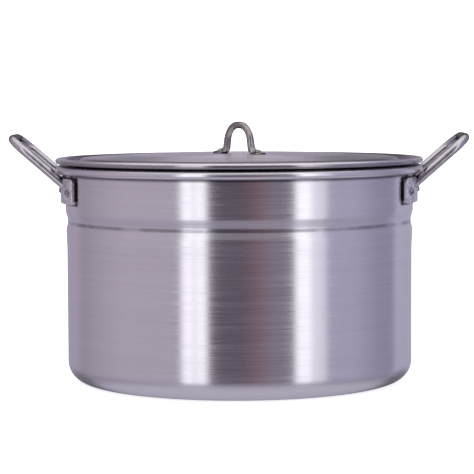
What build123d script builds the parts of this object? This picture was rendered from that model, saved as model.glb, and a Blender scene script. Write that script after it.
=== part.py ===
"""Two-handled aluminium brew kettle with a lift-off lid.

The kettle is a spun aluminium pot with a rolled rim and one pressed groove under it. A curved strap
is riveted to the wall at each side and carries a bent rod handle. The lid is a spun disc with a
rolled edge, a locating channel that drops into the mouth, and a bent rod handle riveted on top.

Millimetres, +Z up. The origin is on the resting plane, on the pot's axis. The side handles lie
along X, and the front of the kettle faces -Y.
"""
from build123d import *
import os
from math import asin, atan2, cos, degrees, pi, radians, sin, sqrt, tan

# --- pot: sizes over the outside of the metal ---
POT_HEIGHT = 250.0
POT_RADIUS = 200.0            # plain wall
POT_WALL = 2.5
BASE_CORNER = 23.5            # outside corner between floor and wall
BAND_STEP = 1.5               # the band over the groove stands out from the plain wall
GROOVE_DROP = 52.0            # from the rim's top to the groove's upper edge
GROOVE_WIDTH = 22.0
GROOVE_DEPTH = 2.5            # below the band
GROOVE_UPPER_FLANK = 9.7
GROOVE_LOWER_FLANK = 8.0
GROOVE_BEND = 7.0             # middle-line bend radii
SWELL = 0.9                   # the wall just under the groove stands out from the plain wall
SWELL_LENGTH = 22.0           # height over which the swell runs out
SWELL_BEND = 60.0
RIM_OVERHANG = 11.5           # from the band to the outside of the rolled rim
RIM_BEAD = 4.5                # outside radius of the roll
MOUTH_BEND = 3.0

# --- lid: spun from thinner sheet ---
LID_SHEET = 2.0
LID_SETBACK = 0.0             # of the lid's edge from the rim's edge
LID_BEAD = 3.2                # outside radius of its rolled edge
LID_GAP = 2.1                 # between the rolled edge and the rim
LID_CROWN = 4.0               # rise of the middle over the flat edge
CROWN_ROUND = 0.9             # share of the room beside the flat middle that the crown's round takes
LID_FLAT_MARGIN = 13.0        # of the flat middle beyond the handle's pads
LID_FLANK_TILT = 25.0         # of the channel's outer flank, from upright
LID_CHANNEL_DEPTH = 10.5      # from the flat edge
LID_CHANNEL_FLOOR = 5.5
LID_CHANNEL_INNER = 10.0      # radial run of the inner flank
LID_BEND = 3.0
LID_PLAY = 0.35               # between the channel's flank and the mouth

# --- side handles ---
STRAP_THICKNESS = 5.5
STRAP_HEIGHT = 29.5
STRAP_WIDTH = 171.7           # straight across, between its ends
STRAP_CORNER = 6.0
STRAP_EDGE = 0.8
HANDLE_ROD = 10.0
HANDLE_PITCH = 91.0           # between the legs
HANDLE_RISE = 41.1            # degrees above level
HANDLE_PROJECTION = 47.0      # from the rim to the rod's middle at the grip
HANDLE_BEND = 23.0
HANDLE_CLEARANCE = 0.85       # between a leg and the rim
TENON = 7.0
TENON_FIT = 0.05

# --- rivets and burrs ---
RIVET_SHANK = 5.0
RIVET_HEAD = 8.0
RIVET_HEAD_HEIGHT = 3.1
RIVET_TAIL = 8.4
RIVET_TAIL_HEIGHT = 1.9
RIVET_FIT = 0.1               # radial room in each hole
RIVET_PITCH = 143.0           # straight across, between a strap's outer rivets
RIVET_DROP = 1.3              # of the rivets below the strap's middle line
WASHER_RADIUS = 6.0
WASHER_THICKNESS = 1.2

# --- lid handle ---
LID_ROD = 8.0
LID_HANDLE_TURN = -55.0       # about the pot's axis, from the line of the side handles
LID_HANDLE_HEIGHT = 37.2      # over the lid's top
LID_RIVET_PITCH = 76.0
LEG_INSET = 12.0              # from a rivet's middle to the leg's middle, at the lid
LID_LEG_TOP = 39.0            # between the corners that the arch is bent from
ARCH_FLAT = 5.0               # straight stretch at the top of the arch
PAD_RADIUS = 9.0
PAD_NECK = 4.8
PAD_THICKNESS = 2.5

# --- places that follow from those sizes ---
band_radius = POT_RADIUS + BAND_STEP
band_inner = band_radius - POT_WALL
rim_radius = band_radius + RIM_OVERHANG
lid_edge_top = POT_HEIGHT + LID_GAP + 2 * LID_BEAD
lid_top = lid_edge_top + LID_CROWN
strap_outer = band_radius + STRAP_THICKNESS
rise = radians(HANDLE_RISE)

# A leg runs up past the rolled rim, HANDLE_CLEARANCE away from it, which sets where it meets the
# strap. The strap's top edge is level with the top of that joint.
seat_x = sqrt(strap_outer ** 2 - (HANDLE_PITCH / 2) ** 2)
rim_x = sqrt((rim_radius - RIM_BEAD) ** 2 - (HANDLE_PITCH / 2) ** 2)
leg_to_rim = HANDLE_ROD / 2 + HANDLE_CLEARANCE + RIM_BEAD
seat_z = POT_HEIGHT - RIM_BEAD - (leg_to_rim + (rim_x - seat_x) * sin(rise)) / cos(rise)
strap_top = seat_z + HANDLE_ROD / 2 / cos(rise)
strap_low = strap_top - STRAP_HEIGHT
rivet_z = (strap_low + strap_top) / 2 - RIVET_DROP
rivet_angle = degrees(asin(RIVET_PITCH / 2 / strap_outer))


def parallel(points, distance):
    """The corners of the open line that runs beside an open line of (r, z, bend) corners.

    A positive distance lies to the left of the line's direction. Each bend keeps its centre, so
    the two lines stay the same distance apart through it.
    """
    moved = []
    for i, (r, z, bend) in enumerate(points):
        before = points[max(i - 1, 0)]
        after = points[min(i + 1, len(points) - 1)]
        start = (r - before[0], z - before[1]) if i > 0 else (after[0] - r, after[1] - z)
        end = (after[0] - r, after[1] - z) if i < len(points) - 1 else start
        start_angle = atan2(start[1], start[0])
        turn = (atan2(end[1], end[0]) - start_angle + 3 * pi) % (2 * pi) - pi
        reach = distance / cos(turn / 2)
        side = start_angle + turn / 2 + pi / 2
        new_bend = bend - distance if turn > 0 else bend + distance
        moved.append((r + reach * cos(side), z + reach * sin(side), new_bend))
    return moved


def bent_line(points):
    """An open line of straights and tangent arcs through (r, z, bend) corners."""
    return FilletPolyline(*[(r, z) for r, z, _ in points], radius=[bend for _, _, bend in points[1:-1]])


def spun_sheet(points, thickness):
    """A shell of even thickness, spun about Z, from the (r, z, bend) corners of its middle line."""
    left = parallel(points, thickness / 2)
    right = parallel(points, -thickness / 2)
    with BuildPart() as shell:
        with BuildSketch(Plane.XZ):
            with BuildLine():
                bent_line(left)
                bent_line(right)
                Line(left[0][:2], right[0][:2])
                Line(left[-1][:2], right[-1][:2])
            make_face()
        revolve(axis=Axis.Z)
    return shell.part


def rolled_edge(outer_radius, bead_centre, bead, thickness):
    """The last corners of a middle line: three quarter turns down, in and up, into a hollow roll."""
    half = bead - thickness / 2
    outside = outer_radius - thickness / 2
    inside = outside - 2 * half
    bend = half * 0.98
    return [
        (outside, bead_centre + half, bend),
        (outside, bead_centre - half, bend),
        (inside, bead_centre - half, bend),
        (inside, bead_centre + 0.1 * half, 0),
    ]


def pot_middle_line():
    """Corners of the pot's middle line, from the centre of the floor to the rolled rim."""
    half = POT_WALL / 2
    wall = POT_RADIUS - half
    groove_top = POT_HEIGHT - GROOVE_DROP
    groove_low = groove_top - GROOVE_WIDTH
    return [
        (0, half, 0),
        (wall, half, BASE_CORNER - half),
        (wall, groove_low - SWELL_LENGTH, SWELL_BEND),
        (wall + SWELL, groove_low, GROOVE_BEND),
        (wall + BAND_STEP - GROOVE_DEPTH, groove_low + GROOVE_LOWER_FLANK, GROOVE_BEND),
        (wall + BAND_STEP - GROOVE_DEPTH, groove_top - GROOVE_UPPER_FLANK, GROOVE_BEND),
        (wall + BAND_STEP, groove_top, GROOVE_BEND),
        (wall + BAND_STEP, POT_HEIGHT - half, MOUTH_BEND),
    ] + rolled_edge(rim_radius, POT_HEIGHT - RIM_BEAD, RIM_BEAD, POT_WALL)


def lid_middle_line():
    """Corners of the lid's middle line, from its centre to its rolled edge.

    The channel's outer flank is placed from the round of the mouth, LID_PLAY away from it.
    """
    half = LID_SHEET / 2
    tilt = radians(LID_FLANK_TILT)
    mouth_round = MOUTH_BEND + POT_WALL / 2
    away = mouth_round + LID_PLAY + half
    flank_r = band_inner + mouth_round - away * cos(tilt)
    flank_z = POT_HEIGHT - mouth_round + away * sin(tilt)
    edge = lid_edge_top - half
    floor = edge - LID_CHANNEL_DEPTH
    flank_top = flank_r + (edge - flank_z) * tan(tilt)
    flank_foot = flank_r + (floor - flank_z) * tan(tilt)
    crown_edge = flank_foot - LID_CHANNEL_FLOOR - LID_CHANNEL_INNER
    lid_flat = LID_RIVET_PITCH / 2 + PAD_RADIUS + LID_FLAT_MARGIN
    crown_corner = (lid_flat + crown_edge) / 2
    slope = atan2(LID_CROWN, crown_edge - crown_corner)
    crown_bend = (crown_corner - lid_flat) / tan(slope / 2)
    return [
        (0, edge + LID_CROWN, 0),
        (crown_corner, edge + LID_CROWN, CROWN_ROUND * crown_bend),
        (crown_edge, edge, LID_BEND),
        (flank_foot - LID_CHANNEL_FLOOR, floor, LID_BEND),
        (flank_foot, floor, LID_BEND - half),
        (flank_top, edge, LID_BEND),
    ] + rolled_edge(rim_radius - LID_SETBACK, lid_edge_top - LID_BEAD, LID_BEAD, LID_SHEET)


def ring(inner, outer, low, high):
    """A plain ring about the pot's axis, or a disc where the inner radius is 0."""
    with BuildPart() as solid:
        with Locations((0, 0, low)):
            Cylinder(outer, high - low, align=(Align.CENTER, Align.CENTER, Align.MIN))
            if inner > 0:
                Cylinder(inner, high - low, align=(Align.CENTER, Align.CENTER, Align.MIN),
                         mode=Mode.SUBTRACT)
    return solid.part


def radial_plane(angle, height, radius):
    """A plane whose own z axis points straight out from the pot's axis."""
    outward = Vector(cos(radians(angle)), sin(radians(angle)), 0)
    return Plane(origin=outward * radius + Vector(0, 0, height), x_dir=(0, 0, 1), z_dir=outward)


def peg(plane, radius, low, high):
    """A round peg along a plane's own z axis."""
    return plane * Pos(0, 0, (low + high) / 2) * Cylinder(radius, high - low)


def dome(radius, height):
    """A shallow round cap on its flat base."""
    ball = (radius ** 2 + height ** 2) / (2 * height)
    with BuildPart() as cap:
        with Locations((0, 0, height - ball)):
            Sphere(ball)
        with Locations((0, 0, -ball)):
            Box(4 * ball, 4 * ball, 2 * ball, mode=Mode.SUBTRACT)
    return cap.part


def strap_rivet(angle):
    """A solid rivet through strap, wall and burr, its head and tail shaped to the curves they meet."""
    grip_inner = band_inner - WASHER_THICKNESS
    plane = radial_plane(angle, rivet_z, 0)
    sink = RIVET_HEAD_HEIGHT / 10
    head = plane * Pos(0, 0, strap_outer) * dome(RIVET_HEAD / 2, RIVET_HEAD_HEIGHT)
    head += peg(plane, RIVET_HEAD / 2, strap_outer - sink, strap_outer)
    head -= ring(0, strap_outer, rivet_z - RIVET_HEAD, rivet_z + RIVET_HEAD)
    tail = plane * Pos(0, 0, grip_inner - sink) * Rot(180, 0, 0) * dome(RIVET_TAIL / 2, RIVET_TAIL_HEIGHT)
    tail += peg(plane, RIVET_TAIL / 2, grip_inner - sink, grip_inner)
    tail &= ring(0, grip_inner, rivet_z - RIVET_TAIL, rivet_z + RIVET_TAIL)
    shank = peg(plane, RIVET_SHANK / 2, grip_inner - sink, strap_outer + sink)
    return head + shank + tail


def strap_washer(angle):
    """A thin burr between a rivet's tail and the wall, pressed to the wall's curve."""
    plane = radial_plane(angle, rivet_z, 0)
    blank = peg(plane, WASHER_RADIUS, band_inner - 2 * WASHER_THICKNESS, band_inner)
    blank &= ring(band_inner - WASHER_THICKNESS, band_inner,
                  rivet_z - 2 * WASHER_RADIUS, rivet_z + 2 * WASHER_RADIUS)
    return blank - rivet_hole(angle)


def rivet_hole(angle):
    """The hole that one strap rivet passes through."""
    plane = radial_plane(angle, rivet_z, 0)
    return peg(plane, RIVET_SHANK / 2 + RIVET_FIT, band_inner - 4 * POT_WALL, strap_outer + POT_WALL)


def leg_plane(side):
    """A plane at the place where a leg meets the strap, its own z axis up along the leg."""
    seat = Vector(seat_x, side * HANDLE_PITCH / 2, seat_z)
    return Plane(origin=seat, x_dir=(0, 1, 0), z_dir=(cos(rise), 0, sin(rise)))


def side_strap():
    """The curved bar on the wall, at +X, with its rivet holes and the loop's tenon holes."""
    with BuildPart() as bar:
        with BuildSketch(Plane.YZ):
            with Locations((0, (strap_low + strap_top) / 2)):
                RectangleRounded(STRAP_WIDTH, STRAP_HEIGHT, STRAP_CORNER)
        extrude(amount=2 * strap_outer)
        add(ring(band_radius, strap_outer, 0, 2 * POT_HEIGHT), mode=Mode.INTERSECT)
        outer_face = bar.faces().filter_by(GeomType.CYLINDER).sort_by(Axis.X)[-1]
        chamfer(outer_face.edges(), STRAP_EDGE)
    strap = bar.part
    for angle in (-rivet_angle, 0, rivet_angle):
        strap -= rivet_hole(angle)
    for side in (-1, 1):
        strap -= peg(leg_plane(side), TENON / 2 + TENON_FIT, -4 * STRAP_THICKNESS, STRAP_THICKNESS)
    return strap


def side_loop():
    """The bent rod grip at +X: two rising legs, a square U with round corners, and two tenons."""
    low, high = leg_plane(-1), leg_plane(1)
    length = (rim_radius + HANDLE_PROJECTION - seat_x) / cos(rise)
    buried = 2 * HANDLE_ROD
    climb = Vector(cos(rise), 0, sin(rise))
    with BuildPart() as rod:
        with BuildLine() as path:
            FilletPolyline(low.origin - climb * buried, low.origin + climb * length,
                           high.origin + climb * length, high.origin - climb * buried,
                           radius=HANDLE_BEND)
        with BuildSketch(Plane(origin=path.line @ 0, z_dir=path.line % 0)):
            Circle(HANDLE_ROD / 2)
        sweep()
    grip = rod.part - ring(0, strap_outer, 0, 2 * POT_HEIGHT)
    for plane in (low, high):
        tenon = peg(plane, TENON / 2, -4 * STRAP_THICKNESS, STRAP_THICKNESS)
        grip += tenon - ring(0, band_radius, 0, 2 * POT_HEIGHT)
    return grip


def lid_rivet_plane(side):
    """A plane at the top of the lid on one rivet's axis, its own z axis up."""
    turn = radians(LID_HANDLE_TURN)
    reach = side * LID_RIVET_PITCH / 2
    return Plane(origin=(reach * cos(turn), reach * sin(turn), lid_top))


def lid_rivet(side):
    """A solid rivet through the pad, the lid and a burr."""
    plane = lid_rivet_plane(side)
    grip_low = -LID_SHEET - WASHER_THICKNESS
    head = plane * Pos(0, 0, PAD_THICKNESS) * dome(RIVET_HEAD / 2, RIVET_HEAD_HEIGHT)
    tail = plane * Pos(0, 0, grip_low) * Rot(180, 0, 0) * dome(RIVET_TAIL / 2, RIVET_TAIL_HEIGHT)
    return head + tail + peg(plane, RIVET_SHANK / 2, grip_low, PAD_THICKNESS)


def lid_washer(side):
    """The burr under the lid on one rivet."""
    plane = lid_rivet_plane(side)
    blank = peg(plane, WASHER_RADIUS, -LID_SHEET - WASHER_THICKNESS, -LID_SHEET)
    return blank - lid_rivet_hole(side)


def lid_rivet_hole(side):
    """The hole that one lid rivet passes through."""
    return peg(lid_rivet_plane(side), RIVET_SHANK / 2 + RIVET_FIT, -4 * LID_SHEET, 4 * LID_SHEET)


def lid_handle():
    """A bent rod arch whose two ends are hammered out into round pads."""
    rod = LID_ROD / 2
    arch = LID_HANDLE_HEIGHT - rod
    foot = LID_RIVET_PITCH / 2 - LEG_INSET
    corner = LID_LEG_TOP / 2
    lean = (foot - corner) / arch
    root = -LID_ROD
    turn = pi / 2 - atan2(lean, 1)
    bend = (corner - ARCH_FLAT / 2) / tan(turn / 2)
    with BuildPart() as handle:
        with BuildLine() as path:
            FilletPolyline((-foot + root * lean, 0, root), (-corner, 0, arch),
                           (corner, 0, arch), (foot - root * lean, 0, root), radius=bend)
        with BuildSketch(Plane(origin=path.line @ 0, z_dir=path.line % 0)):
            Circle(rod)
        sweep()
        Box(2 * LID_RIVET_PITCH, LID_RIVET_PITCH, LID_HANDLE_HEIGHT,
            align=(Align.CENTER, Align.CENTER, Align.MAX), mode=Mode.SUBTRACT)
        with BuildSketch():
            for side in (-1, 1):
                with BuildSketch(mode=Mode.PRIVATE) as pad:
                    with Locations((side * LID_RIVET_PITCH / 2, 0)):
                        Circle(PAD_RADIUS)
                    with Locations((side * foot, 0)):
                        Circle(PAD_NECK)
                add(make_hull(pad.sketch.edges(), mode=Mode.PRIVATE))
        extrude(amount=PAD_THICKNESS)
    solid = Pos(0, 0, lid_top) * Rot(0, 0, LID_HANDLE_TURN) * handle.part
    for side in (-1, 1):
        solid -= lid_rivet_hole(side)
    return solid


def build():
    """Every piece of the kettle, by name."""
    pieces = {}
    pot = spun_sheet(pot_middle_line(), POT_WALL)
    strap, loop = side_strap(), side_loop()
    places = {"front": -rivet_angle, "middle": 0, "rear": rivet_angle}
    for name, turn in (("right", 0), ("left", 180)):
        pieces[f"{name}_strap"] = Rot(0, 0, turn) * strap
        pieces[f"{name}_handle"] = Rot(0, 0, turn) * loop
        for place, angle in places.items():
            around = angle if turn == 0 else turn - angle
            pot -= rivet_hole(around)
            pieces[f"{name}_{place}_rivet"] = strap_rivet(around)
            pieces[f"{name}_{place}_washer"] = strap_washer(around)
    pieces["pot_body"] = pot

    lid = spun_sheet(lid_middle_line(), LID_SHEET)
    for name, side in (("far", -1), ("near", 1)):
        lid -= lid_rivet_hole(side)
        pieces[f"lid_{name}_rivet"] = lid_rivet(side)
        pieces[f"lid_{name}_washer"] = lid_washer(side)
    pieces["lid_shell"] = lid
    pieces["lid_handle"] = lid_handle()
    return pieces


os.makedirs("parts", exist_ok=True)
for node, shape in build().items():
    export_step(shape, f"parts/{node}.step")
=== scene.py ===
"""Aluminium brew kettle with two riveted rod handles and a lift-off lid, in metres."""
from math import asin, atan2, cos, degrees, pi, radians, sin, sqrt, tan

import bpy
from mathutils import Matrix, Vector


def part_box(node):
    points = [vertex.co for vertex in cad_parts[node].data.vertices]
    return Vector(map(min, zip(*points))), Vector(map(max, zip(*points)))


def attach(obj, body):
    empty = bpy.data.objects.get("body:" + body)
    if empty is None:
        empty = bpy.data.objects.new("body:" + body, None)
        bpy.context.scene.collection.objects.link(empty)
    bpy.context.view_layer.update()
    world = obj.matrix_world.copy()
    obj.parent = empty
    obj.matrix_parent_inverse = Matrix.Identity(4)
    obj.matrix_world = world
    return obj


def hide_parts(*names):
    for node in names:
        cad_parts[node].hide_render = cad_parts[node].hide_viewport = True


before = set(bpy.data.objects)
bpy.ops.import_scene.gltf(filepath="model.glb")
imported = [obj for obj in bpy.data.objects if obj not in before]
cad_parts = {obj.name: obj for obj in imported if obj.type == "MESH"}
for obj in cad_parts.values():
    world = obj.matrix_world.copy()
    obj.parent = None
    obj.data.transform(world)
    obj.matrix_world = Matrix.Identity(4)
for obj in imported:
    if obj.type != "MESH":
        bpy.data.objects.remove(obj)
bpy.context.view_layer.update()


# ---------------------------------------------------------------------------------------------
# The set: a long lens a little above the lid, a pale floor and a white room. Tall cloths hang
# all round, seen only in the metal: grey ones, a dark one behind the camera, and a lit one at
# each side of that, which give the wall its dark middle and its two bright bands.
# ---------------------------------------------------------------------------------------------
camera_data = bpy.data.cameras.new("camera")
camera_data.lens = 156.8
camera_data.sensor_width = 36
camera = bpy.data.objects.new("camera", camera_data)
camera.location = (-0.002, -2.40, 0.3396)
camera.rotation_euler = (radians(90 - 4.154), radians(0.252), 0)
bpy.context.collection.objects.link(camera)
bpy.context.scene.camera = camera
bpy.context.scene.view_settings.view_transform = "Standard"

world = bpy.data.worlds.new("white_room")
world.use_nodes = True
world.node_tree.nodes["Background"].inputs["Color"].default_value = (1.0, 1.0, 1.0, 1)
world.node_tree.nodes["Background"].inputs["Strength"].default_value = 1.05
bpy.context.scene.world = world


class Wire:
    """A shader socket that takes part in sums: an expression on wires adds the Math nodes it needs."""

    def __init__(self, tree, socket):
        self.tree, self.socket = tree, socket

    def math(self, operation, *values):
        return node(self.tree, "ShaderNodeMath", {"operation": operation}, dict(enumerate(values)))

    def __add__(self, other):
        return self.math("ADD", self, other)

    def __sub__(self, other):
        return self.math("SUBTRACT", self, other)

    def __mul__(self, other):
        return self.math("MULTIPLY", self, other)

    def __rsub__(self, other):
        return self.math("SUBTRACT", other, self)

    def __abs__(self):
        return self.math("ABSOLUTE", self)

    __radd__, __rmul__ = __add__, __mul__


def node(tree, kind, settings=None, sockets=None, output=0):
    """Adds a node: its settings or ramp stops first, then the values or wires of its sockets."""
    new = tree.nodes.new(kind)
    for key, value in (settings or {}).items():
        if key == "stops":
            ramp = new.color_ramp.elements
            while len(ramp) < len(value):
                ramp.new(0.5)
            for stop, (position, color) in zip(ramp, value):
                stop.position, stop.color = position, (*color, 1)
        else:
            setattr(new, key, value)
    for key, value in (sockets or {}).items():
        if isinstance(value, Wire):
            tree.links.new(value.socket, new.inputs[key])
        else:
            new.inputs[key].default_value = value
    return Wire(tree, new.outputs[output])


def pour(surface, **wires):
    """Feeds wires or plain values into the surface node's sockets."""
    for key, value in wires.items():
        socket = surface.inputs[key.replace("_", " ")]
        if isinstance(value, Wire):
            value.tree.links.new(value.socket, socket)
        else:
            socket.default_value = value


def blank(name):
    """A new material: its tree, its surface node and the wires of the object coordinates."""
    material = bpy.data.materials.new(name)
    material.use_nodes = True
    tree = material.node_tree
    place = node(tree, "ShaderNodeTexCoord", output="Object")
    x, y, z = (node(tree, "ShaderNodeSeparateXYZ", sockets={0: place}, output=i) for i in range(3))
    return material, tree, tree.nodes["Principled BSDF"], place, (x, y, z)


def between(value, low, high):
    """Rises smoothly from 0 to 1 as a value goes from low to high."""
    return node(value.tree, "ShaderNodeMapRange", {"interpolation_type": "SMOOTHSTEP"},
                {0: value, 1: low, 2: high, 3: 0.0, 4: 1.0})


def blend(tree, factor, one, other):
    """A colour between two others."""
    one, other = ((*color, 1) if isinstance(color, tuple) else color for color in (one, other))
    return node(tree, "ShaderNodeMix", {"data_type": "RGBA"}, {0: factor, 6: one, 7: other}, output=2)


floor_reach, floor_glow = 60.0, 0.62
bpy.ops.object.select_all(action="DESELECT")
bpy.ops.mesh.primitive_plane_add(size=2 * floor_reach)
floor = bpy.context.object
floor.name = "floor"
floor.visible_glossy = False
paint, _, surface, _, _ = blank("pale_floor")
pour(surface, Base_Color=(0.86, 0.855, 0.87, 1), Roughness=0.8, Emission_Color=(1, 1, 1, 1),
     Emission_Strength=floor_glow)
floor.data.materials.append(paint)

# What hangs at each angle round the kettle: 0 is at the camera's side, positive to its right.
lamp, lamp_edge, lamp_frame = (1.72, 1.69, 1.79), (1.10, 1.07, 1.20), (0.80, 0.77, 0.86)
dark_cloth, red_cloth, grey_cloth = (0.105, 0.08, 0.112), (0.235, 0.125, 0.155), (0.24, 0.21, 0.27)
left_cloth, left_shade, left_glow = (0.585, 0.525, 0.63), (0.455, 0.405, 0.50), (0.60, 0.545, 0.67)
right_cloth, right_shade, right_glow = (0.53, 0.50, 0.68), (0.385, 0.36, 0.51), (0.66, 0.63, 0.82)
back_cloth, brown_cloth = (0.48, 0.435, 0.54), (0.33, 0.305, 0.35)
hangings = [
    (-163, back_cloth), (-153, left_glow), (-134, left_glow), (-120, left_shade), (-80, left_cloth),
    (-44, left_cloth), (-38, left_shade), (-35, lamp), (-29.5, lamp), (-28, lamp_frame),
    (-26.5, lamp), (-20.7, lamp), (-19.2, grey_cloth), (-15.5, dark_cloth), (2, dark_cloth),
    (12, red_cloth), (20, grey_cloth), (33.5, grey_cloth), (35.5, lamp), (44, lamp), (46, lamp_edge),
    (54, lamp_edge), (57, right_cloth), (76, right_cloth), (100, right_shade), (116, right_shade),
    (122, right_glow), (155, right_glow), (163, back_cloth), (168, brown_cloth), (173, brown_cloth),
    (176, back_cloth),
]
# Under the cloths is a grey floor, pale straight below the kettle. Over them are a light haze and
# the white ceiling. Behind the kettle the cloths are in shade above and below its own height.
haze, ceiling, shade = (0.40, 0.38, 0.44), (1.15, 1.12, 1.18), (0.10, 0.09, 0.10)
grey_floor, near_floor = (0.375, 0.35, 0.44), (0.64, 0.61, 0.73)
kettle_middle, shade_depth = 0.10, 0.55

tent_reach, tent_middle = 2.0, 0.15
bpy.ops.mesh.primitive_uv_sphere_add(segments=96, ring_count=48, radius=tent_reach,
                                     location=(0, 0, tent_middle))
tent = bpy.context.object
tent.name = "tent"
tent.visible_camera = tent.visible_diffuse = tent.visible_shadow = False
paint, tree, surface, _, (x, y, z) = blank("hanging_cloths")
angle = node(tree, "ShaderNodeMath", {"operation": "ARCTAN2"}, {0: x, 1: 0 - y})
cloth = node(tree, "ShaderNodeValToRGB",
             {"stops": [(turn / 360 + 0.5, color) for turn, color in hangings]},
             {0: angle * (1 / (2 * pi)) + 0.5})
cloth = node(tree, "ShaderNodeMix", {"data_type": "RGBA", "blend_type": "LIGHTEN"},
             {0: between(z, 0.42, 0.75), 6: cloth, 7: (*haze, 1)}, output=2)
cloth = blend(tree, between(z, -0.95, -0.55), grey_floor, cloth)
shaded = between(y, 0.9, 1.3) * between(abs(z - kettle_middle), 0.50, 0.85)
cloth = blend(tree, shaded * shade_depth, cloth, shade)
cloth = blend(tree, between(z, -1.35, -1.00), near_floor, cloth)
cloth = blend(tree, between(z, 1.20, 1.60), cloth, ceiling)
pour(surface, Base_Color=(0, 0, 0, 1), Roughness=1.0, Specular_IOR_Level=0.0, Emission_Color=cloth,
     Emission_Strength=1.0)
tent.data.materials.append(paint)


# ---------------------------------------------------------------------------------------------
# The pot is spun from one disc of aluminium sheet. It has a round corner at the floor, a groove
# pressed in under the band, and a rim rolled outward into a hollow bead. The spinning tool has
# left fine lines all round it. Six holes are punched through the band for the strap rivets.
# ---------------------------------------------------------------------------------------------
def clear():
    """Back to object mode with nothing selected."""
    if bpy.context.object and bpy.context.object.mode != "OBJECT":
        bpy.ops.object.mode_set(mode="OBJECT")
    bpy.ops.object.select_all(action="DESELECT")


def rounded(corners, straight=0.005, turn=radians(7)):
    """Points along (r, z, bend) corners, a straight step or a turn apart: each bend is an arc."""
    places = [Vector((r, 0, z)) for r, z, _ in corners]
    points = [places[0]]
    for before, corner, after, (_, _, bend) in zip(places, places[1:], places[2:], corners[1:]):
        way_in = (corner - before).normalized()
        way_out = (after - corner).normalized()
        angle = way_in.angle(way_out)
        start = corner - way_in * bend * tan(angle / 2)
        centre = start + (way_out - way_in * way_in.dot(way_out)).normalized() * bend
        axis = way_in.cross(way_out).normalized()
        run_to(points, start, straight)
        steps = max(2, round(angle / turn))
        for i in range(1, steps + 1):
            swing = Matrix.Rotation(angle * i / steps, 3, axis)
            points.append(centre + swing @ (start - centre))
    run_to(points, places[-1], straight)
    return points


def run_to(points, end, straight):
    """Adds even steps along a straight run to the end."""
    start = points[-1]
    steps = max(1, round((end - start).length / straight))
    points += [start.lerp(end, i / steps) for i in range(1, steps + 1)]


def draw_line(name, points):
    """A new piece in edit mode: one vertex, extruded from point to point."""
    clear()
    bpy.ops.mesh.primitive_plane_add(size=0.001, location=points[0])
    piece = bpy.context.object
    piece.name = name
    bpy.ops.object.mode_set(mode="EDIT")
    bpy.ops.mesh.select_mode(type="VERT")
    bpy.ops.mesh.merge(type="CENTER")
    for start, end in zip(points, points[1:]):
        bpy.ops.mesh.extrude_region_move(TRANSFORM_OT_translate={"value": end - start})
    return piece


def spin_round(sides=160):
    """Spins the line being drawn right round Z and closes it."""
    bpy.ops.mesh.select_all(action="SELECT")
    bpy.ops.mesh.spin(steps=sides, angle=2 * pi, center=(0, 0, 0), axis=(0, 0, 1))
    bpy.ops.mesh.select_all(action="SELECT")
    bpy.ops.mesh.remove_doubles(threshold=0.00001)
    bpy.ops.mesh.normals_make_consistent(inside=False)


def settle(piece):
    """Leaves edit mode and puts the piece's origin at the frame's, unturned and unscaled."""
    clear()
    piece.select_set(True)
    bpy.context.view_layer.objects.active = piece
    bpy.ops.object.transform_apply(location=True, rotation=True, scale=True)


def modify(piece, kind, **settings):
    """Adds one modifier with its settings and applies it."""
    clear()
    bpy.context.view_layer.objects.active = piece
    modifier = piece.modifiers.new(kind.lower(), kind)
    for key, value in settings.items():
        setattr(modifier, key, value)
    bpy.ops.object.modifier_apply(modifier=modifier.name)


def smooth(piece, angle=35):
    """Smooth shading up to an angle between faces."""
    clear()
    piece.select_set(True)
    bpy.context.view_layer.objects.active = piece
    bpy.ops.object.shade_smooth_by_angle(angle=radians(angle))


def radial(angle, radius, height):
    """A frame whose Z points straight out from the pot's axis at an angle from +X."""
    turn = Matrix.Rotation(radians(angle), 4, "Z") @ Matrix.Rotation(radians(90), 4, "Y")
    return Matrix.Translation((radius * cos(radians(angle)), radius * sin(radians(angle)), height)) @ turn


def cylinder(radius, depth, place, sides=48):
    """A solid cylinder along a frame's Z, to cut or join with."""
    clear()
    bpy.ops.mesh.primitive_cylinder_add(vertices=sides, radius=radius, depth=depth)
    tool = bpy.context.object
    tool.matrix_world = place
    return tool


def cut(piece, tool, operation="DIFFERENCE"):
    """Cuts a piece with a tool, or joins the two, and throws the tool away."""
    modify(piece, "BOOLEAN", object=tool, operation=operation, solver="EXACT")
    bpy.data.objects.remove(tool)


def noise(tree, vector, scale, detail=2.0, roughness=0.5):
    """Smooth noise, from 0 to 1."""
    return node(tree, "ShaderNodeTexNoise", None,
                {"Vector": vector, "Scale": scale, "Detail": detail, "Roughness": roughness})


def keep_between(value, low, high):
    """A value cut off at both ends."""
    return node(value.tree, "ShaderNodeClamp", None, {0: value, 1: low, 2: high})


def largest(one, other):
    """The larger of two values."""
    return node(one.tree, "ShaderNodeMath", {"operation": "MAXIMUM"}, {0: one, 1: other})


def from_axis(x, y):
    """The distance out from the pot's axis."""
    return node(x.tree, "ShaderNodeMath", {"operation": "SQRT"}, {0: x * x + y * y})


painted_shade_color = (0.06, 0.05, 0.055)


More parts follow.
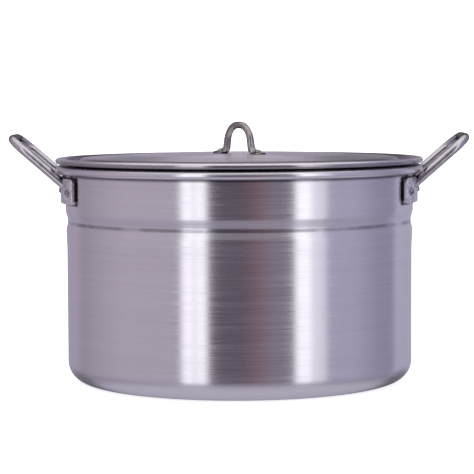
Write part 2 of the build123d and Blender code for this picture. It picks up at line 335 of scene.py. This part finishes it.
def turned_aluminium(name, light, dark, roughness, painted_shade):
    """Spun sheet: fine tool lines run round the axis, up the wall and across the flat alike."""
    material, tree, surface, place, (x, y, z) = blank(name)
    along = from_axis(x, y) + z

    def lines(pitch, length, detail):
        vector = node(tree, "ShaderNodeCombineXYZ", None,
                      {0: x * (1 / length), 1: y * (1 / length), 2: along * (1 / pitch)})
        return noise(tree, vector, 1.0, detail, 0.6) - 0.5

    fine, ridges, broad = lines(0.0012, 0.10, 2.0), lines(0.0032, 0.35, 3.0), lines(0.014, 1.2, 2.0)
    cloud = noise(tree, place, 11.0, 3.0) - 0.5
    tone = keep_between(fine * 0.9 + ridges * 0.6 + broad * 0.5 + cloud * 0.4 + 0.5, 0.0, 1.0)
    # Painted shade: the mask darkens the turned tone towards near-black.
    color = blend(tree, painted_shade(tree, place, x, y, z), blend(tree, tone, dark, light), painted_shade_color)
    rough = roughness + fine * 0.22 + ridges * 0.10 + cloud * 0.04
    height = fine * 0.6 + ridges * 0.5 + broad * 0.2
    bump = node(tree, "ShaderNodeBump", None, {"Strength": 0.30, "Distance": 0.00006, "Height": height})
    pour(surface, Base_Color=color, Roughness=keep_between(rough, 0.12, 0.6), Normal=bump, Metallic=1.0,
         Specular_Tint=(0.72, 0.72, 0.72, 1), Anisotropic=0.86, Anisotropic_Rotation=0.25)
    return material


sheet = 0.0025
_, pot_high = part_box("pot_body")
pot_height, rim_radius = pot_high[2], pot_high[0]
overhang, band_step = 0.0115, 0.0015
band_radius = rim_radius - overhang
wall_radius = band_radius - band_step
base_corner = 0.0235
groove_drop, groove_width, groove_depth = 0.052, 0.022, 0.0025
upper_flank, lower_flank = 0.0097, 0.0080
swell, swell_length = 0.0009, 0.022
rim_bead, mouth_bend = 0.0045, 0.003
groove_bend, swell_bend = 0.007, 0.060


def rolled_edge(outside, centre, bead, thickness):
    """The last corners of a middle line, rolled out, down and back in."""
    half = bead - thickness / 2
    outer = outside - thickness / 2
    inner = outer - 2 * half
    bend = half * 0.98
    return [(outer, centre + half, bend), (outer, centre - half, bend), (inner, centre - half, bend),
            (inner, centre + half * 0.1, 0)]


half_sheet = sheet / 2
wall_middle = wall_radius - half_sheet
groove_top = pot_height - groove_drop
groove_low = groove_top - groove_width
groove_floor = wall_middle + band_step - groove_depth
pot_line = [
    (0, half_sheet, 0),
    (wall_middle, half_sheet, base_corner - half_sheet),
    (wall_middle, groove_low - swell_length, swell_bend),
    (wall_middle + swell, groove_low, groove_bend),
    (groove_floor, groove_low + lower_flank, groove_bend),
    (groove_floor, groove_top - upper_flank, groove_bend),
    (wall_middle + band_step, groove_top, groove_bend),
    (wall_middle + band_step, pot_height - half_sheet, mouth_bend),
] + rolled_edge(rim_radius, pot_height - rim_bead, rim_bead, sheet)

pot = draw_line("pot", rounded(pot_line))
spin_round()
settle(pot)
modify(pot, "SOLIDIFY", thickness=sheet, offset=0, use_even_offset=True)

strap_low, strap_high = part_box("right_strap")
strap_thickness = 0.0055
strap_outer = band_radius + strap_thickness
rivet_low, rivet_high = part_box("right_middle_rivet")
rivet_height = (rivet_low[2] + rivet_high[2]) / 2
rivet_pitch, shank_radius, rivet_fit = 0.143, 0.0025, 0.0001
rivet_swing = degrees(asin(rivet_pitch / 2 / strap_outer))
strap_rivets = {
    f"{hand}_{place}": facing + swing * (1 if hand == "right" else -1)
    for hand, facing in (("right", 0), ("left", 180))
    for place, swing in (("front", -rivet_swing), ("middle", 0), ("rear", rivet_swing))
}
hole_radius, punch_length = shank_radius + rivet_fit, 0.03
for angle in strap_rivets.values():
    cut(pot, cylinder(hole_radius, punch_length, radial(angle, band_radius, rivet_height)))
smooth(pot)


def pot_painted_shade(tree, place, x, y, z):
    """Painted shade in the crease of the groove, in patches, a painted shadow under the rim, and painted
    shade on the wall round the straps.
    """
    patches = between(noise(tree, place, 28.0, 3.0), 0.25, 0.60)
    radius = from_axis(x, y)
    crease_height = groove_low + lower_flank + 0.0015
    # Painted shade along the crease of the groove, in patches.
    crease = (1 - between(abs(z - crease_height), 0.0008, 0.0030)) * (patches * 0.50 + 0.06)
    crease = crease * between(radius, groove_floor - 0.0001, groove_floor + 0.0006)
    outside = between(radius, band_radius - 0.0014, band_radius - 0.0006)
    on_wall = outside * (1 - between(radius, band_radius + 0.0015, band_radius + 0.0040))
    # Painted shadow on the wall just under the rim bead.
    under_rim = between(z, pot_height - 0.0135, pot_height - 0.0100) * on_wall * 0.80
    # Painted shade on the wall beside and round each strap.
    beside = 1 - between(abs(y), strap_high[1] + 0.0012, strap_high[1] + 0.0026)
    above = between(z, strap_low[2] - 0.0020, strap_low[2] - 0.0010)
    below = 1 - between(z, strap_high[2] + 0.0010, strap_high[2] + 0.0040)
    return largest(largest(crease, under_rim), beside * above * below * outside * 0.97)


wall_light, wall_dark = (0.717, 0.702, 0.722), (0.597, 0.578, 0.602)
pot.data.materials.append(turned_aluminium("turned_wall", wall_light, wall_dark, 0.25, pot_painted_shade))
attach(pot, "pot")
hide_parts("pot_body")


# ---------------------------------------------------------------------------------------------
# The straps are cast bars, 5.5 mm thick, bent to the curve of the band. Their corners are
# rounded and their outer edges eased. Three rivets hold each one, and two holes take the tenons
# of its handle. The skin is grainy from the mould, with painted shade round the rivets and a
# painted shadow along each end where it meets the wall.
# ---------------------------------------------------------------------------------------------
strap_corner, strap_edge = 0.006, 0.0009
strap_swing = asin(strap_high[1] / strap_outer)
strap_height = strap_high[2] - strap_low[2]
strap_middle = (strap_high[2] + strap_low[2]) / 2
strap_length = 2 * strap_swing * band_radius


def choose(piece, test):
    """Opens a piece for editing with only the edges selected whose middles pass a test."""
    clear()
    bpy.context.view_layer.objects.active = piece
    bpy.ops.object.mode_set(mode="EDIT")
    bpy.ops.mesh.select_mode(type="EDGE")
    bpy.ops.mesh.select_all(action="DESELECT")
    bpy.ops.object.mode_set(mode="OBJECT")
    for edge in piece.data.edges:
        start, end = (piece.data.vertices[i].co for i in edge.vertices)
        edge.select = test((start + end) / 2)
    bpy.ops.object.mode_set(mode="EDIT")


def grainy_casting(name, light, dark, shaded_centres):
    """Grey as-cast metal with bright specks, painted shade round each rivet head and a painted shadow along
    each end by the wall.
    """
    material, tree, surface, place, (x, y, z) = blank(name)
    grain = noise(tree, place, 440.0, 3.0, 0.65) - 0.5
    wear = noise(tree, place, 90.0, 3.0) - 0.5
    specks = between(noise(tree, place, 520.0, 2.0, 0.6), 0.57, 0.68)
    color = blend(tree, keep_between(grain * 3.4 + wear * 1.6 + 0.55, 0.0, 1.0), dark, light)
    color = blend(tree, specks * 0.7, color, (1.0, 0.98, 1.0))
    mirrored = node(tree, "ShaderNodeCombineXYZ", None, {0: abs(x), 1: abs(y), 2: z})
    # Painted shade: a dark ring round each rivet head.
    for shaded_centre in shaded_centres:
        away = node(tree, "ShaderNodeVectorMath", {"operation": "DISTANCE"}, {0: mirrored, 1: shaded_centre}, output=1)
        color = blend(tree, (1 - between(away, 0.0040, 0.0058)) * 0.9, color, (0.07, 0.06, 0.065))
    # Painted shadow: dark along each end of the strap where it meets the wall.
    swing = node(tree, "ShaderNodeMath", {"operation": "ARCTAN2"}, {0: abs(y), 1: abs(x)})
    end_shadow = between(swing, strap_swing - 0.0040, strap_swing - 0.0010)
    by_wall = 1 - between(from_axis(x, y), band_radius + 0.0016, band_radius + 0.0030)
    color = blend(tree, end_shadow * by_wall * 0.94, color, (0.05, 0.045, 0.05))
    rough = keep_between(grain * 0.5 + wear * 0.3 + 0.42, 0.2, 0.8)
    bump = node(tree, "ShaderNodeBump", None,
                {"Strength": 0.8, "Distance": 0.00022, "Height": grain + wear * 0.6})
    pour(surface, Base_Color=color, Roughness=rough, Normal=bump, Metallic=1.0,
         Specular_Tint=(0.6, 0.6, 0.6, 1))
    return material


def strap(hand, facing):
    """One bar: cornered, eased and bent, then drilled for its rivets and tenons."""
    clear()
    bpy.ops.mesh.primitive_cube_add(size=1, location=(0, -strap_thickness / 2, 0),
                                    scale=(strap_length, strap_thickness, strap_height))
    bar = bpy.context.object
    bar.name = f"{hand}_strap_bar"
    settle(bar)
    choose(bar, lambda middle: abs(middle.x) > strap_length * 0.49 and abs(middle.z) > strap_height * 0.49)
    bpy.ops.mesh.bevel(offset=strap_corner, segments=7, affect="EDGES")
    choose(bar, lambda middle: middle.y < -strap_thickness * 0.99)
    bpy.ops.mesh.bevel(offset=strap_edge, segments=3, affect="EDGES")
    slices = 40
    for i in range(1, slices):
        bpy.ops.mesh.select_all(action="SELECT")
        bpy.ops.mesh.bisect(plane_co=(strap_length * (i / slices - 0.5), 0, 0), plane_no=(1, 0, 0))
    clear()
    modify(bar, "SIMPLE_DEFORM", deform_method="BEND", deform_axis="Z", angle=2 * strap_swing)
    bar.location = (0, -band_radius, strap_middle)
    settle(bar)
    bar.rotation_euler = (0, 0, radians(90 + facing))
    settle(bar)
    for name, angle in strap_rivets.items():
        if name.startswith(hand):
            cut(bar, cylinder(hole_radius, punch_length, radial(angle, strap_outer, rivet_height)))
    return bar


_, handle_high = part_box("right_handle")
rod_radius, handle_rise = 0.005, radians(41.1)
tenon_radius, tenon_fit = 0.0035, 0.00005
leg_reach = handle_high[1] - rod_radius
grip_place = Vector((handle_high[0] - rod_radius, 0, handle_high[2] - rod_radius))
climb = Vector((cos(handle_rise), 0, sin(handle_rise)))
seat_x = sqrt(strap_outer ** 2 - leg_reach ** 2)
leg_length = (grip_place.x - seat_x) / cos(handle_rise)


def tenon(side, radius, reach=0.022):
    """The turned-down end of one leg of the right handle, through the strap."""
    seat = grip_place + Vector((0, side * leg_reach, 0)) - climb * leg_length
    turn = climb.to_track_quat("Z", "Y").to_matrix().to_4x4()
    return cylinder(radius, 2 * reach, Matrix.Translation(seat - climb * (reach - strap_thickness)) @ turn)


# Centres of the painted shade rings round the rivet heads.
rivet_shade_centres = [(strap_outer, 0, rivet_height),
               (strap_outer * cos(radians(rivet_swing)), rivet_pitch / 2, rivet_height)]
casting = grainy_casting("grainy_casting", (0.98, 0.96, 0.99), (0.44, 0.42, 0.46), rivet_shade_centres)
for hand, facing in (("right", 0), ("left", 180)):
    bar = strap(hand, facing)
    for side in (-1, 1):
        drill = tenon(side, tenon_radius + tenon_fit)
        drill.matrix_world = Matrix.Rotation(radians(facing), 4, "Z") @ drill.matrix_world
        cut(bar, drill)
    smooth(bar)
    bar.data.materials.append(casting)
    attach(bar, "pot")
    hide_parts(f"{hand}_strap")


# ---------------------------------------------------------------------------------------------
# Each side handle is one 10 mm rod, bent cold to a square U with round corners, which rises at
# 41 degrees. Its ends are coped to the strap's face and turned down to tenons, closed behind it.
# The rod is drawn, so it is smooth along its length, with pits and dull patches from handling.
# ---------------------------------------------------------------------------------------------
def bend_rod(name, radius, start, heading, moves, sides=32):
    """A rod in edit mode: a ring extruded by each length, or spun by each (axis, degrees, bend)."""
    clear()
    bpy.ops.mesh.primitive_circle_add(vertices=sides, radius=radius, location=start,
                                      rotation=heading.to_track_quat("Z", "Y").to_euler())
    rod = bpy.context.object
    rod.name = name
    bpy.ops.object.mode_set(mode="EDIT")
    place = Vector(start)
    for move in moves:
        if isinstance(move, tuple):
            axis, turn, bend = move
            centre = place + axis.cross(heading) * bend
            steps = max(6, round(turn / 7))
            bpy.ops.mesh.spin(steps=steps, angle=-radians(turn), center=centre, axis=axis)
            swing = Matrix.Rotation(radians(turn), 3, axis)
            place = centre + swing @ (place - centre)
            heading = swing @ heading
        else:
            bpy.ops.mesh.extrude_region_move(TRANSFORM_OT_translate={"value": heading * move})
            place = place + heading * move
    return rod, place, heading


def close_rod(rod, axis):
    """Closes the rod's end, mirrors the half that was bent and turns its faces outward."""
    bpy.ops.mesh.edge_face_add()
    settle(rod)
    modify(rod, "MIRROR", use_axis=[axis == "X", axis == "Y", False], merge_threshold=0.00002)
    bpy.context.view_layer.objects.active = rod
    bpy.ops.object.mode_set(mode="EDIT")
    bpy.ops.mesh.select_all(action="SELECT")
    bpy.ops.mesh.normals_make_consistent(inside=False)
    clear()


def drawn_rod(name, light, dark, roughness, edge, darker_below=0.0):
    """Drawn wire: even and fairly bright, with small pits, dull patches, and darker in patches below a
    height.
    """
    material, tree, surface, place, (x, y, z) = blank(name)
    grain = noise(tree, place, 1000.0, 3.0, 0.6) - 0.5
    wear = noise(tree, place, 60.0, 4.0, 0.6) - 0.5
    pits = between(noise(tree, place, 650.0, 2.0, 0.7), 0.62, 0.76)
    color = blend(tree, keep_between(grain * 1.2 + wear * 1.4 + 0.55, 0.0, 1.0), dark, light)
    color = blend(tree, pits * 0.45, color, (0.16, 0.145, 0.15))
    # Darker in patches below a height: on the lid handle, the pads towards the lid.
    dark_blotches = 1 - between(z, darker_below, darker_below + 0.0035)
    dark_blotches = dark_blotches * between(noise(tree, place, 160.0), 0.30, 0.60)
    color = blend(tree, dark_blotches * 0.70, color, (0.06, 0.05, 0.05))
    bump = node(tree, "ShaderNodeBump", None,
                {"Strength": 0.35, "Distance": 0.00006, "Height": grain * 0.5 - pits * 0.7 + wear * 0.5})
    pour(surface, Base_Color=color, Roughness=keep_between(roughness + grain * 0.15 + wear * 0.25, 0.10, 0.7),
         Normal=bump, Metallic=1.0, Specular_Tint=(edge, edge, edge, 1))
    return material


handle_bend, buried = 0.023, 0.020
across = Vector((0, 1, 0))
loop, _, _ = bend_rod("right_loop", rod_radius, grip_place, across,
                      [leg_reach - handle_bend, (climb.cross(across), 90, handle_bend),
                       leg_length - handle_bend, buried])
close_rod(loop, "Y")
upright = Matrix.Translation((0, 0, pot_height))
cut(loop, cylinder(strap_outer, pot_height, upright, 360))
for side in (-1, 1):
    end = tenon(side, tenon_radius)
    cut(end, cylinder(band_radius, pot_height, upright, 360))
    cut(loop, end, "UNION")
smooth(loop, 40)
wire_light, wire_dark = (0.68, 0.66, 0.67), (0.34, 0.32, 0.33)
loop.data.materials.append(drawn_rod("handle_wire", wire_light, wire_dark, 0.22, 0.20))


def copy_round(piece, name, turn):
    """A copy with its own mesh, turned about the pot's axis."""
    twin = piece.copy()
    twin.data = piece.data.copy()
    twin.name = name
    twin.rotation_euler = (0, 0, radians(turn))
    bpy.context.collection.objects.link(twin)
    settle(twin)
    return twin


for hand, rod in (("left", copy_round(loop, "left_loop", 180)), ("right", loop)):
    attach(rod, "pot")
    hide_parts(f"{hand}_handle")


# ---------------------------------------------------------------------------------------------
# Six solid rivets hold the straps: a domed head outside, and inside a tail closed over a burr,
# which is a small washer that keeps the tail from pulling through the sheet.
# ---------------------------------------------------------------------------------------------
head_radius, head_height = 0.004, 0.0031
tail_radius, tail_height = 0.0042, 0.0019
burr_radius, burr_thickness = 0.006, 0.0012
fastener_sides, cap_steps = 40, 7


def cap(radius, height, base, side):
    """Points of a shallow dome from its middle to its edge: side 1 stands up, -1 hangs down."""
    ball = (radius ** 2 + height ** 2) / (2 * height)
    swings = [asin(radius / ball) * i / cap_steps for i in range(cap_steps + 1)]
    return [Vector((ball * sin(swing), 0, base + side * (height - ball + ball * cos(swing))))
            for swing in swings]


def rivet(name, grip, sink):
    """A rivet on the frame's own Z: its head stands on 0 and its tail is closed at the grip below."""
    shank = [Vector((shank_radius, 0, -grip)), Vector((shank_radius, 0, -sink)),
             Vector((head_radius, 0, -sink))]
    points = cap(tail_radius, tail_height, -grip, -1) + shank + cap(head_radius, head_height, 0, 1)[::-1]
    piece = draw_line(name, points)
    spin_round(fastener_sides)
    settle(piece)
    smooth(piece, 40)
    return piece


def burr(name):
    """A punched washer under the frame's own 0, its outer edges eased."""
    ease = 0.00025
    corners = [(hole_radius, 0), (burr_radius - ease, 0), (burr_radius, -ease),
               (burr_radius, ease - burr_thickness), (burr_radius - ease, -burr_thickness),
               (hole_radius, -burr_thickness), (hole_radius, 0)]
    piece = draw_line(name, [Vector((r, 0, z)) for r, z in corners])
    spin_round(fastener_sides)
    settle(piece)
    smooth(piece, 30)
    return piece


def struck(name, light, dark, roughness):
    """Rivet metal: dented by the hammer, with dark stains."""
    material, tree, surface, place, _ = blank(name)
    dents = noise(tree, place, 420.0, 2.0, 0.5) - 0.5
    dark_blotches = noise(tree, place, 170.0, 3.0, 0.6) - 0.5
    color = blend(tree, keep_between(dents * 1.4 + dark_blotches * 2.6 + 0.5, 0.0, 1.0), dark, light)
    bump = node(tree, "ShaderNodeBump", None,
                {"Strength": 0.7, "Distance": 0.00025, "Height": dents + dark_blotches * 0.5})
    pour(surface, Base_Color=color, Roughness=keep_between(roughness + dark_blotches * 0.4, 0.15, 0.7),
         Normal=bump, Metallic=1.0, Specular_Tint=(0.5, 0.5, 0.5, 1))
    return material


rivet_metal = struck("struck_rivet", (0.56, 0.54, 0.55), (0.12, 0.11, 0.115), 0.30)
burr_metal = struck("punched_burr", (0.64, 0.62, 0.64), (0.44, 0.42, 0.44), 0.38)


def fasten(piece, place, body, node_name, metal):
    """Puts a rivet or burr in its place, gives it its metal and body, and hides its CAD node."""
    piece.matrix_world = place
    settle(piece)
    piece.data.materials.append(metal)
    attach(piece, body)
    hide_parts(node_name)


strap_grip, head_sink = strap_thickness + sheet + burr_thickness, 0.0002
for name, angle in strap_rivets.items():
    fasten(rivet(f"{name}_stud", strap_grip, head_sink), radial(angle, strap_outer, rivet_height),
           "pot", f"{name}_rivet", rivet_metal)
    fasten(burr(f"{name}_burr"), radial(angle, band_radius - sheet, rivet_height),
           "pot", f"{name}_washer", burr_metal)


# ---------------------------------------------------------------------------------------------
# The lid is spun from thinner sheet: a low crown with a flat middle for the handle, a channel
# that drops into the mouth and centres it, a flat edge and a rolled bead that sits over the rim.
# ---------------------------------------------------------------------------------------------
_, lid_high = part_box("lid_shell")
lid_sheet = 0.002
lid_bead, lid_crown = 0.0032, 0.004
channel_depth, channel_floor, channel_inner = 0.0105, 0.0055, 0.010
lid_bend, lid_play, flank_tilt = 0.003, 0.00035, radians(25)
lid_flat, crown_round = 0.060, 0.9

half_lid = lid_sheet / 2
lid_edge = lid_high[2] - lid_crown - half_lid
mouth_round = mouth_bend + half_sheet
away = mouth_round + lid_play + half_lid
flank_r = band_radius - sheet + mouth_round - away * cos(flank_tilt)
flank_z = pot_height - mouth_round + away * sin(flank_tilt)
channel_z = lid_edge - channel_depth
flank_top = flank_r + (lid_edge - flank_z) * tan(flank_tilt)
flank_foot = flank_r + (channel_z - flank_z) * tan(flank_tilt)
crown_edge = flank_foot - channel_floor - channel_inner
crown_corner = (lid_flat + crown_edge) / 2
crown_bend = crown_round * (crown_corner - lid_flat) / tan(atan2(lid_crown, crown_edge - crown_corner) / 2)
lid_line = [
    (0, lid_edge + lid_crown, 0),
    (crown_corner, lid_edge + lid_crown, crown_bend),
    (crown_edge, lid_edge, lid_bend),
    (flank_foot - channel_floor, channel_z, lid_bend),
    (flank_foot, channel_z, lid_bend - half_lid),
    (flank_top, lid_edge, lid_bend),
] + rolled_edge(lid_high[0], lid_edge + half_lid - lid_bead, lid_bead, lid_sheet)

lid = draw_line("lid", rounded(lid_line))
spin_round()
settle(lid)
modify(lid, "SOLIDIFY", thickness=lid_sheet, offset=0, use_even_offset=True)

lid_top = lid_high[2]
handle_turn = radians(-55)
lid_rivet_pitch = 0.076
lid_rivets = {
    name: Matrix.Rotation(handle_turn, 4, "Z") @ Matrix.Translation((side * lid_rivet_pitch / 2, 0, lid_top))
    for name, side in (("far", -1), ("near", 1))
}
short_punch = 0.02
for place in lid_rivets.values():
    cut(lid, cylinder(hole_radius, short_punch, place))
smooth(lid)
disc_edge, channel_edge = 0.122, 0.171


def lid_painted_shade(tree, place, x, y, z):
    """Painted reflection and shade: a darker ring outside the middle, stronger towards the sides and in
    patches; painted shade in the channel; and painted shade on the flat edge and under the bead, whose top is
    left lighter.
    """
    patches = noise(tree, place, 20.0, 3.0) * 0.5 + 0.6
    radius = from_axis(x, y)
    to_sides = between(abs(x), 0.06, 0.12)
    # Painted reflection: a darker ring outside the middle, stronger towards the sides.
    ring = between(radius, disc_edge, disc_edge + 0.001) * (to_sides * 0.42 + 0.14) * patches
    # Painted shade in the channel.
    channel = between(radius, channel_edge, channel_edge + 0.004) * 0.80
    # Painted shade on the flat edge and under the bead; the bead's top is left lighter.
    edge = between(radius, flank_top + 0.001, flank_top + 0.004)
    bead_top = between(radius, lid_high[0] - 0.0070, lid_high[0] - 0.0050)
    bead_top = bead_top * between(z, lid_edge - 0.002, lid_edge)
    return largest(ring, channel) * (1 - edge) + edge * (0.64 - bead_top * 0.42)


lid_light, lid_dark = (0.90, 0.87, 0.905), (0.80, 0.765, 0.805)
lid.data.materials.append(turned_aluminium("turned_lid", lid_light, lid_dark, 0.24, lid_painted_shade))
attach(lid, "lid")
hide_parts("lid_shell")


# ---------------------------------------------------------------------------------------------
# The lid's handle is an 8 mm rod bent to an arch. Each foot turns outward and is hammered out
# to a round pad, which one rivet through the lid and a burr holds down.
# ---------------------------------------------------------------------------------------------
_, arch_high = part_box("lid_handle")
lid_rod = 0.004
arch_height = arch_high[2] - lid_top - lid_rod
leg_foot, leg_top, arch_flat = 0.026, 0.0195, 0.0025
foot_bend, foot_height = 0.0046, 0.0036
pad_radius, pad_thickness = 0.009, 0.0025
leg_turn = 90 - degrees(atan2(leg_foot - leg_top, arch_height))
arch_bend = (leg_top - arch_flat) / tan(radians(leg_turn / 2))
leg_run = (arch_height - foot_height) / sin(radians(leg_turn))
leg_run -= (arch_bend + foot_bend) * tan(radians(leg_turn / 2))

arch, place, _ = bend_rod("lid_arch", lid_rod, Vector((0, 0, arch_height)), Vector((1, 0, 0)),
                          [arch_flat, (across, leg_turn, arch_bend), leg_run,
                           (-across, leg_turn, foot_bend)])
leg_spread, spread_reach = 1.18, 0.022
bpy.ops.transform.resize(value=(1, leg_spread, 1), center_override=place,
                         use_proportional_edit=True, proportional_size=spread_reach)
width, depth = lid_rod * leg_spread, lid_rod
pad_steps, flat_steps, pad_sweep = 18, 2, 150
pad_half, pad_middle, tip_width, least_step = 0.0017, 0.0008, 0.0008, 0.0004
for i in range(1, pad_steps + 1):
    angle = radians(pad_sweep * (1 - i / pad_steps))
    target = lid_rivet_pitch / 2 + pad_radius * cos(angle)
    new_width = max(pad_radius * sin(angle), tip_width)
    flat = min(1.0, i / flat_steps)
    new_depth = lid_rod + (pad_half - lid_rod) * flat
    new_height = foot_height + (pad_middle - foot_height) * flat
    step = Vector((max(target - place.x, least_step), 0, new_height - place.z))
    bpy.ops.mesh.extrude_region_move(TRANSFORM_OT_translate={"value": step})
    place = place + step
    bpy.ops.transform.resize(value=(1, new_width / width, new_depth / depth), center_override=place)
    width, depth = new_width, new_depth
close_rod(arch, "X")
bpy.context.view_layer.objects.active = arch
bpy.ops.object.mode_set(mode="EDIT")
bpy.ops.mesh.select_all(action="SELECT")
bpy.ops.mesh.bisect(plane_co=(0, 0, 0), plane_no=(0, 0, 1), use_fill=True, clear_inner=True)
clear()
arch.matrix_world = Matrix.Rotation(handle_turn, 4, "Z") @ Matrix.Translation((0, 0, lid_top))
settle(arch)
for place in lid_rivets.values():
    cut(arch, cylinder(hole_radius, short_punch, place))
smooth(arch, 40)
arch_light, arch_dark, darker_below_height = (0.50, 0.48, 0.465), (0.15, 0.135, 0.13), lid_top + 0.0004
arch.data.materials.append(drawn_rod("arch_wire", arch_light, arch_dark, 0.15, 0.14, darker_below_height))
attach(arch, "lid")
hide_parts("lid_handle")

lid_grip = pad_thickness + lid_sheet + burr_thickness
for name, place in lid_rivets.items():
    fasten(rivet(f"lid_{name}_stud", lid_grip, 0.0), place @ Matrix.Translation((0, 0, pad_thickness)),
           "lid", f"lid_{name}_rivet", rivet_metal)
    fasten(burr(f"lid_{name}_burr"), place @ Matrix.Translation((0, 0, -lid_sheet)),
           "lid", f"lid_{name}_washer", burr_metal)
